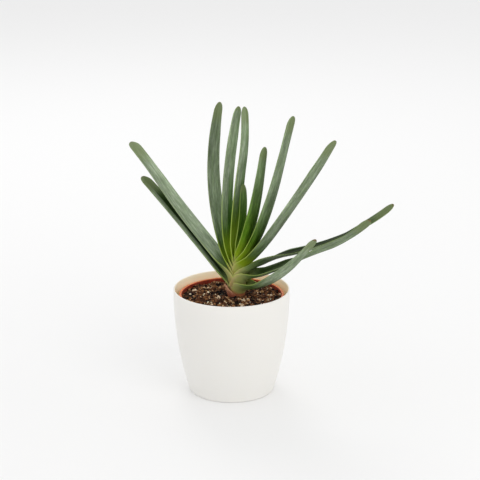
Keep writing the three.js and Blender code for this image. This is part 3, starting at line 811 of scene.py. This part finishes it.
def soil_height(x, y):
    """Height of the lumpy surface in millimetres, as in the solids."""
    from_stem = np.hypot(x - STEM_X, y - STEM_Y) / SOIL_HEAP_REACH
    height = SOIL_LEVEL - SOIL_HEAP / 2 + SOIL_HEAP * np.exp(-(from_stem ** 2))
    for wave_x, wave_y, phase, rise in SOIL_WAVES:
        height = height + rise * np.sin(wave_x * x + wave_y * y + phase)
    return height


def near(x, y, middle_x, middle_y, radius):
    """1 at a spot, falling smoothly to a third of that a radius away."""
    return math.exp(-((x - middle_x) ** 2 + (y - middle_y) ** 2) / radius ** 2)


def clods(x, y):
    """Height in millimetres of the small clods and pits on top of the waves."""
    lumps = noise.fractal(Vector((x * CLOD_CELLS, y * CLOD_CELLS, 3)), *FRACTAL, 5)
    pits = noise.noise(Vector((x * PIT_CELLS, y * PIT_CELLS, 9)))
    hollows = sum(depth * near(x, y, *spot) for *spot, depth in HOLLOWS)
    return CLOD_HEIGHT * lumps - PIT_DEPTH * max(0, pits - PIT_FROM) - hollows


def make_peat():
    """The soil body: its top surface is drawn out from the stem's hole to the grow pot's wall."""
    bottom = GROW_BOTTOM + GROW_FLOOR + CLEARANCE
    edge = grow_bore(SOIL_LEVEL) - CLEARANCE
    hole = STEM_NECK + CLEARANCE
    hole_foot = SOIL_LEVEL + STEM_ROWS[0][0] - CLEARANCE
    profile = [(0, hole_foot), (hole * 0.8, hole_foot), (hole, SOIL_LEVEL - 6)]
    profile += [(lerp(hole, edge, i / PEAT_RINGS), SOIL_LEVEL) for i in range(PEAT_RINGS + 1)]
    profile += [(grow_bore(SOIL_LEVEL - 8) - CLEARANCE, SOIL_LEVEL - 8)]
    profile += [(grow_bore(bottom + GROW_ROUND) - CLEARANCE, bottom + GROW_ROUND)]
    profile += [(grow_bore(bottom) - GROW_ROUND - CLEARANCE, bottom), (0, bottom)]
    bm = spun(profile, PEAT_STEPS)
    for vertex in bm.verts:
        x, y, z = (value / MM for value in vertex.co)
        radius = math.hypot(x, y)
        if z < hole_foot - 1 or z < SOIL_LEVEL - 1 and radius > hole + 1:
            continue
        share = min(1, max(0, (radius - hole) / (edge - hole)))
        x += STEM_X * (1 - share)
        y += STEM_Y * (1 - share)
        if z > SOIL_LEVEL - 1:
            rim = min(1, (1 - share) * CLOD_FADE)
            z = soil_height(x, y) + rim * clods(x, y)
        vertex.co = (x * MM, y * MM, z * MM)
    standing = new_cutters()
    standing.objects.link(plain_object("dry", dry_sheath_body(CLEARANCE, DRY_SLIT)))
    for number, leaf in enumerate(LEAVES[:LEAVES_AT_SOIL]):
        standing.objects.link(plain_object(f"lowest_{number}", leaf_body(leaf, CLEARANCE)))
    mix = cut_clear(bm, standing)
    clear_cutters(standing)
    finished("peat_mix", mix, ["soil"], [peat()])


def toned_mesh(name, bm):
    """A small mesh that is laid many times, each time with a tone of its own."""
    mesh = mesh_of(name, bm)
    mesh.attributes.new("tone", "FLOAT", "POINT")
    return mesh


def lump_mesh(name, facets, jitter, seed):
    """A small closed lump with a few dozen faces, its corners pushed in and out."""
    bm = bmesh.new()
    bmesh.ops.create_icosphere(bm, subdivisions=facets, radius=1)
    for vertex in bm.verts:
        push = noise.noise(vertex.co * 1.7 + Vector((seed, 0, 0)))
        vertex.co *= 1 + jitter * push
    return toned_mesh(name, bm)


def chip_mesh(name, seed):
    """A flake with uneven sides and corners."""
    bm = bmesh.new()
    bmesh.ops.create_cube(bm, size=1)
    bmesh.ops.subdivide_edges(bm, edges=bm.edges[:], cuts=1, use_grid_fill=True)
    for vertex in bm.verts:
        vertex.co += 0.13 * noise.noise_vector(vertex.co * 2.3 + Vector((seed, 0, 0)))
    return toned_mesh(name, bm)


def lay(template, bm, place, turn, tilt, size, tone=1):
    """Adds a copy of a small mesh to bm, with its place and its sizes in millimetres."""
    scale = Matrix.Diagonal((*(side * MM for side in size), 1))
    turned = Matrix.Rotation(tilt, 4, "X") @ Matrix.Rotation(turn, 4, "Z")
    mesh = template.copy()
    mesh.transform(Matrix.Translation([value * MM for value in place]) @ turned @ scale)
    mesh.attributes["tone"].data.foreach_set("value", [tone] * len(mesh.vertices))
    bm.from_mesh(mesh)
    bpy.data.meshes.remove(mesh)


def make_loose_bits():
    """Perlite and bark exactly where the solids have them, then finer bits than the solids hold."""
    # Seeded too, because noise_vector, which shapes the flakes, would start from the clock
    noise.seed_set(RANDOM_SEED)
    random = partial(next, seeded_random(RANDOM_SEED))
    reach = grow_bore(SOIL_LEVEL) - LOOSE_MARGIN

    def anywhere():
        radius = reach * math.sqrt(random())
        turn = 2 * math.pi * random()
        return radius * math.cos(turn), radius * math.sin(turn)

    def on_soil():
        while True:
            x, y = (value * FINE_REACH for value in anywhere())
            if math.hypot(x - STEM_X, y - STEM_Y) > STEM_CLEAR:
                return x, y, soil_height(x, y) + clods(x, y)

    grains = list(PERLITE_SHOWN)
    for _ in range(PERLITE_SCATTERED):
        x, y = anywhere()
        grains.append((x, y, lerp(*PERLITE_RADII, random() ** 2)))
    white, flakes, crumbs = bmesh.new(), bmesh.new(), bmesh.new()
    lumps = [lump_mesh(f"lump_{i}", 2, 0.35, 7.3 * i) for i in range(LUMP_SHAPES)]
    small = [lump_mesh(f"grain_{i}", 1, 0.5, 2.9 * i) for i in range(LUMP_SHAPES)]
    chips = [chip_mesh(f"chip_{i}", 3.1 * i) for i in range(CHIP_SHAPES)]
    for i, (x, y, radius) in enumerate(grains):
        size = (radius, radius * lerp(PERLITE_FLATTEST, 1, random()),
                radius * lerp(PERLITE_FLATTEST, 1, random()))
        turn, tilt = 2 * math.pi * random(), math.radians(LOOSE_TILT) * (2 * random() - 1)
        place = (x, y, soil_height(x, y) - PERLITE_SUNK * radius)
        lay(lumps[i % LUMP_SHAPES], white, place, turn, tilt, size)
    for i in range(BARK_SCATTERED):
        x, y = anywhere()
        length = lerp(*BARK_LENGTHS, random() ** 2)
        size = (length, length * lerp(*BARK_BREADTHS, random()), BARK_THICKNESS)
        turn, tilt = 2 * math.pi * random(), math.radians(LOOSE_TILT) * (2 * random() - 1)
        place = (x, y, soil_height(x, y))
        lay(chips[i % CHIP_SHAPES], flakes, place, turn, tilt, size, random())

    bits = FINE_PERLITE
    for i in range(bits.count):
        x, y, z = on_soil()
        radius = lerp(*bits.sizes, random() ** 2)
        size = (radius, radius * lerp(*bits.breadths, random()), radius * bits.thickness)
        turn, tilt = FULL_TURN * random(), FULL_TURN * random()
        lay(small[i % LUMP_SHAPES], white, (x, y, z + bits.lift), turn, tilt, size)
    bits = FIBRES
    for i in range(bits.count):
        x, y, z = on_soil()
        size = (lerp(*bits.sizes, random() ** 1.6), bits.breadths[0], bits.thickness)
        tilt, turn = 0.35 * (random() - 0.5), FULL_TURN * random()
        lay(chips[i % CHIP_SHAPES], flakes, (x, y, z + bits.lift), turn, tilt, size,
            lerp(0.7, 1, random()))
    (x0, y0), (x1, y1), thick, pieces = TWIG
    for i in range(pieces):
        bend = TWIG_BEND * math.sin(2.3 * i)
        place = (lerp(x0, x1, (i + 0.5) / pieces), lerp(y0, y1, (i + 0.5) / pieces),
                 SOIL_LEVEL + TWIG_HEIGHT + 4 * bend)
        size = (1.25 * math.hypot(x1 - x0, y1 - y0) / pieces, 2 * thick, 2 * thick)
        turn = math.atan2(y1 - y0, x1 - x0) + bend
        lay(chips[i % CHIP_SHAPES], flakes, place, turn, 0, size)
    bits = FINE_BARK
    for i in range(bits.count):
        x, y, z = on_soil()
        length = lerp(*bits.sizes, random() ** 2)
        size = (length, length * lerp(*bits.breadths, random()), bits.thickness)
        tilt, turn = 0.9 * (random() - 0.5), FULL_TURN * random()
        lay(chips[i % CHIP_SHAPES], flakes, (x, y, z + bits.lift), turn, tilt, size, random())
    bits = CRUMBS
    middling, broad, patchy, chance, painted_shade = CRUMB_TONE
    for i in range(bits.count):
        x, y, z = on_soil()
        radius = lerp(*bits.sizes, random() ** 2.8)
        size = (radius, radius * lerp(*bits.breadths, random()),
                radius * lerp(*bits.thickness, random()))
        tone = middling + broad * noise.noise(Vector((x * BROAD_CELLS, y * BROAD_CELLS, 17)))
        tone += patchy * noise.noise(Vector((x * PATCH_CELLS, y * PATCH_CELLS, 5)))
        tone += chance * (random() - 0.5)
        # Painted shade on the crumbs in a hollow
        tone -= painted_shade * sum(near(x, y, *spot) for *spot, depth in HOLLOWS)
        turn, tilt = FULL_TURN * random(), FULL_TURN * random()
        lay(small[i % LUMP_SHAPES], crumbs, (x, y, z + radius * bits.lift), turn, tilt, size,
            min(1, max(0, tone)))
    finished("perlite_grains", white, (), [expanded_perlite()])
    finished("bark_flakes", flakes, (), [bark()], sharp_over=35)
    finished("peat_crumb_bits", crumbs, (), [peat_crumb()])
    for mesh in lumps + chips + small:
        bpy.data.meshes.remove(mesh)


# Stem

def stem_body(grow):
    """The stem, thicker all over by grow."""
    profile = [(0, STEM_ROWS[0][0] - grow)]
    for height, radius in STEM_ROWS:
        profile.append((radius + grow, height + (grow if height > 0 else -grow)))
    profile.append((0, STEM_ROWS[-1][0] + STEM_CROWN + grow))
    bm = spun([(radius, height + SOIL_LEVEL) for radius, height in profile], STEM_STEPS)
    bmesh.ops.translate(bm, verts=bm.verts, vec=(STEM_X * MM, STEM_Y * MM, 0))
    return bm


def make_stem():
    """The bare stem, its surface roughened by cork."""
    bm = stem_body(0)
    upright = [edge for edge in bm.edges
               if abs(edge.verts[0].co.z - edge.verts[1].co.z) > 1 * MM]
    bmesh.ops.subdivide_edges(bm, edges=upright, cuts=3)
    for vertex in bm.verts:
        push = noise.fractal(vertex.co * CORK_CELLS, *FRACTAL, 3)
        vertex.co += vertex.normal * CORK_HEIGHT * MM * push
    finished("stem_foot", bm, ["stem"], [corky_stem()])


# Leaves

def root_radius(leaf):
    """Distance of the leaf's middle line from the stem's axis where it starts."""
    return rows_at(STEM_ROWS, leaf.root) + leaf.outset + CLEARANCE + SHEATH_THICKNESS / 2


def leaf_rows(leaf):
    """Distances of the rows of corners from the root, closer in the sheath and at the tip."""
    low = np.linspace(0, LOW_REACH, LOW_ROWS)
    blade_rows = round((leaf.length - TIP_ROUND - LOW_REACH) / BLADE_ROW)
    blade = np.linspace(LOW_REACH, leaf.length - TIP_ROUND, blade_rows + 1)[1:]
    turns = np.radians(np.linspace(0, 90, TIP_ROWS))
    tip = leaf.length - TIP_ROUND * (1 - np.sin(turns))[1:]
    return np.concatenate((low, blade, tip))


def leaf_spine(leaf, places):
    """Points on the leaf's middle line, with unit axes ahead, inward and across."""
    thirds = (leaf.length / 3, 2 * leaf.length / 3, leaf.length)
    lean_rows = ((0, 0), (SHEATH_LENGTH, leaf.leans[0]), *zip(thirds, leaf.leans[1:]))
    roll_rows = ((SHEATH_LENGTH, 0), (OPEN_AT, leaf.rolls[0]), *zip(thirds, leaf.rolls[1:]))

    def directions(at):
        lean = np.radians(rows_at(lean_rows, at))
        heading = np.radians(leaf.azimuth + leaf.turn * at / leaf.length)
        ahead = np.stack((np.sin(lean) * np.cos(heading), np.sin(lean) * np.sin(heading),
                          np.cos(lean)), 1)
        inward = np.stack((-np.cos(lean) * np.cos(heading), -np.cos(lean) * np.sin(heading),
                           np.sin(lean)), 1)
        return ahead, inward

    steps = np.linspace(0, leaf.length, 2 * round(leaf.length) + 1)
    middles = (steps[1:] + steps[:-1]) / 2
    walked = np.concatenate((np.zeros((1, 3)), np.cumsum(directions(middles)[0], 0)))
    walked *= steps[1]
    start = math.radians(leaf.azimuth)
    origin = np.array((STEM_X + root_radius(leaf) * math.cos(start),
                       STEM_Y + root_radius(leaf) * math.sin(start), SOIL_LEVEL + leaf.root))
    points = origin + np.stack([np.interp(places, steps, walked[:, k]) for k in range(3)], 1)
    ahead, inward = directions(places)
    roll = np.radians(rows_at(roll_rows, places))[:, None]
    inward = inward * np.cos(roll) + np.cross(ahead, inward) * np.sin(roll)
    return points, ahead, inward, np.cross(inward, ahead)


def leaf_section(leaf, places):
    """Half width, thickness and bend (one over its radius) at distances from the root."""
    def farther(rows, size):
        return [(share * leaf.length, value * size) for share, value in rows]

    root_half = root_radius(leaf) * math.radians(leaf.wrap)
    root_bend = 1 / root_radius(leaf)
    blade_bend = 1 / CHANNEL_RADIUS
    half = rows_at([
        (0, root_half), (SHEATH_LENGTH, lerp(root_half, leaf.widths[1] / 2, THROAT_OPENING)),
        (OPEN_AT, leaf.widths[0] / 2), *farther(zip(WIDTHS_AT, leaf.widths[1:]), 0.5),
    ], places)
    thickness = rows_at([
        (0, SHEATH_THICKNESS), (SHEATH_LENGTH, THROAT_THICKNESS), (OPEN_AT, OPEN_THICKNESS),
        *farther(BLADE_THICKNESSES, 1),
    ], places)
    bend = rows_at([
        (0, root_bend), (SHEATH_LENGTH, lerp(root_bend, blade_bend, THROAT_FLATTENING)),
        (OPEN_AT, blade_bend), *farther(BLADE_BENDS, blade_bend),
    ], places)
    from_tip = np.clip((leaf.length - places) / TIP_ROUND, 0, 1)
    rounding = np.sqrt(1 - (1 - from_tip) ** 2)
    return half * rounding, thickness * rounding ** 0.6, bend


def leaf_body(leaf, grow):
    """The leaf as one closed skin, thicker all over by grow. Its UV map holds the turn round the
    section, from one margin over the back to the other and home over the face, and the share of
    its length."""
    places = leaf_rows(leaf)
    points, ahead, inward, across = leaf_spine(leaf, places)
    half, thickness, bend = leaf_section(leaf, places)
    turns = 2 * math.pi * np.arange(LEAF_AROUND) / LEAF_AROUND
    side = -np.cos(turns)
    thinning = lerp(1, MARGIN_SHARE, np.abs(side) ** MARGIN_POWER)
    rounded = np.sqrt(np.clip(1 - np.abs(side) ** MARGIN_ROUNDING, 0, 1))
    offset = (thickness[:, None] * thinning / 2 * rounded + grow) * -np.sign(np.sin(turns) + 1e-9)
    offset[:, np.abs(side) > 1 - 1e-6] = 0
    angle = bend[:, None] * side * (half[:, None] + grow)
    reach = 1 / bend[:, None] - offset
    shift_across = np.sin(angle) * reach
    shift_in = 1 / bend[:, None] - np.cos(angle) * reach
    corners = (points[:, None] + across[:, None] * shift_across[..., None]
               + inward[:, None] * shift_in[..., None])
    corners[0] -= ahead[0] * grow
    corners[-1] = corners[-1].mean(0) + ahead[-1] * grow
    bm, spot = closed_tube(LEAF_AROUND, len(places))
    skin = bm.loops.layers.uv.new("skin")
    for face in bm.faces:
        columns = [spot[loop.vert][0] for loop in face.loops]
        seam = max(columns) - min(columns) > LEAF_AROUND / 2 and len(columns) == 4
        for loop, column in zip(face.loops, columns):
            turned = LEAF_AROUND if seam and column == 0 else column
            share = places[spot[loop.vert][1]] / leaf.length
            loop[skin].uv = (turned / LEAF_AROUND, share)
    for vertex, (column, row) in spot.items():
        vertex.co = corners[row, column] * MM
    bmesh.ops.remove_doubles(bm, verts=bm.verts, dist=0.002 * MM)
    bmesh.ops.recalc_face_normals(bm, faces=bm.faces)
    return bm


def dry_sheath_body(grow, inset):
    """Up its inner side and down its outer side, with a torn edge, at each place round the stem.
    It is thicker all over by grow, and on its inner side by inset."""
    around = 2 * (DRY_UP + 1)
    azimuths = np.linspace(DRY_EDGE[0][0], DRY_EDGE[-1][0], DRY_COLUMNS)
    tops = rows_at(DRY_EDGE, azimuths)
    bm, spot = closed_tube(around, DRY_COLUMNS)
    for vertex, (step, column) in spot.items():
        outer = step > DRY_UP
        up = (around - 1 - step if outer else step) / DRY_UP
        tear = TEAR_HEIGHT * noise.noise(Vector((azimuths[column] * TEAR_CELLS, 0, 5)))
        height = lerp(DRY_ROWS[0][0] - grow, tops[column] + tear + grow, up)
        ending = (column == DRY_COLUMNS - 1) - (column == 0)
        place = (azimuths[column] * CRUMPLE_CELLS[0], height * CRUMPLE_CELLS[1], 0)
        inner_radius = rows_at(DRY_ROWS, height) + CRUMPLE_HEIGHT * noise.noise(Vector(place))
        turn = math.radians(azimuths[column]) + ending * grow / inner_radius
        radius = inner_radius + (DRY_THICKNESS + grow if outer else -inset)
        vertex.co = ((STEM_X + radius * math.cos(turn)) * MM,
                     (STEM_Y + radius * math.sin(turn)) * MM, (SOIL_LEVEL + height) * MM)
    bmesh.ops.recalc_face_normals(bm, faces=bm.faces)
    return bm


def make_leaves():
    """Youngest first: each leaf is cut clear of the stem and of every younger leaf inside it, and
    last the dry sheath of all of them."""
    inside = new_cutters()
    inside.objects.link(plain_object("stem_cutter", stem_body(CLEARANCE)))
    for number in range(len(LEAVES), 0, -1):
        leaf = LEAVES[number - 1]
        node = f"leaf_{number:02d}"
        blade = cut_clear(leaf_body(leaf, 0), inside)
        finished(f"{node}_blade", blade, [node], [leaf_cuticle(number)], LEAF_SHARP)
        inside.objects.link(plain_object(f"{node}_cutter", leaf_body(leaf, CLEARANCE)))
    withered = cut_clear(dry_sheath_body(0, 0), inside)
    finished("withered_sheath", withered, ["stem"], [dry_sheath()], sharp_over=40)
    clear_cutters(inside)


# Studio

CAMERA_X = 9.51
CAMERA_PITCH = 17.13
CAMERA_DISTANCE = 1729.6
CAMERA_AIM = 176.3
FOCAL_PIXELS = 1549.68
PICTURE_PIXELS = 480
SENSOR = 36
TENT_SIDES = 1.1
TENT_TOP = 0.86
LAMP_AIM = Vector((0, 0, 0.16))


def make_camera():
    pitch = math.radians(CAMERA_PITCH)
    data = bpy.data.cameras.new("camera")
    data.sensor_width = SENSOR
    data.lens = SENSOR * FOCAL_PIXELS / PICTURE_PIXELS
    camera = in_scene(bpy.data.objects.new("camera", data))
    camera.location = (CAMERA_X * MM, -CAMERA_DISTANCE * math.cos(pitch) * MM,
                       (CAMERA_AIM + CAMERA_DISTANCE * math.sin(pitch)) * MM)
    camera.rotation_euler = (math.pi / 2 - pitch, 0, 0)
    bpy.context.scene.camera = camera


def make_floor():
    """A wide sheet of matt white acrylic, faintly lit from below."""
    material, add = new_material("light_table")
    shader = add(SHADER, {
        "Base Color": "#DCDCDC", "Roughness": 0.95,
        "Emission Color": "#FFFFFF", "Emission Strength": 0.15,
    })
    add(SURFACE, {"Surface": shader})
    bm = bmesh.new()
    bmesh.ops.create_circle(bm, cap_ends=True, segments=96, radius=9)
    floor = in_scene(plain_object("floor", bm))
    floor.data.materials.append(material)


def soft_box(name, place, size, power, colour):
    """A square lamp that faces the plant."""
    data = bpy.data.lights.new(name, "AREA")
    data.size = size
    data.energy = power
    data.color = linear(colour)[:3]
    lamp = in_scene(bpy.data.objects.new(name, data))
    lamp.location = place
    aim = LAMP_AIM - Vector(place)
    lamp.rotation_euler = aim.to_track_quat("-Z", "Y").to_euler()


def make_light():
    """A white tent, brighter at its sides than at its top, and two weak lamps."""
    world = bpy.data.worlds.new("studio")
    bpy.context.scene.world = world
    world.use_nodes = True
    add = partial(add_node, world.node_tree)
    upward = add(SPLIT, {0: add(PLACE).outputs["Generated"]}).outputs["Z"]
    tent = add(RANGE, (upward, 0, 1, TENT_SIDES, TENT_TOP))
    background = world.node_tree.nodes["Background"]
    background.inputs["Color"].default_value = linear("#FFFFFF")
    world.node_tree.links.new(tent.outputs[0], background.inputs["Strength"])
    soft_box("key", place=(1.2, -1.5, 1.4), size=1.4, power=9, colour="#FFFDFA")
    soft_box("back", place=(-0.3, 1.5, 1.7), size=0.9, power=7, colour="#FFFFFF")
    bpy.context.scene.view_settings.view_transform = "Standard"


make_cover_pot()
make_grow_pot()
make_peat()
make_loose_bits()
make_stem()
make_leaves()
make_floor()
make_light()
make_camera()
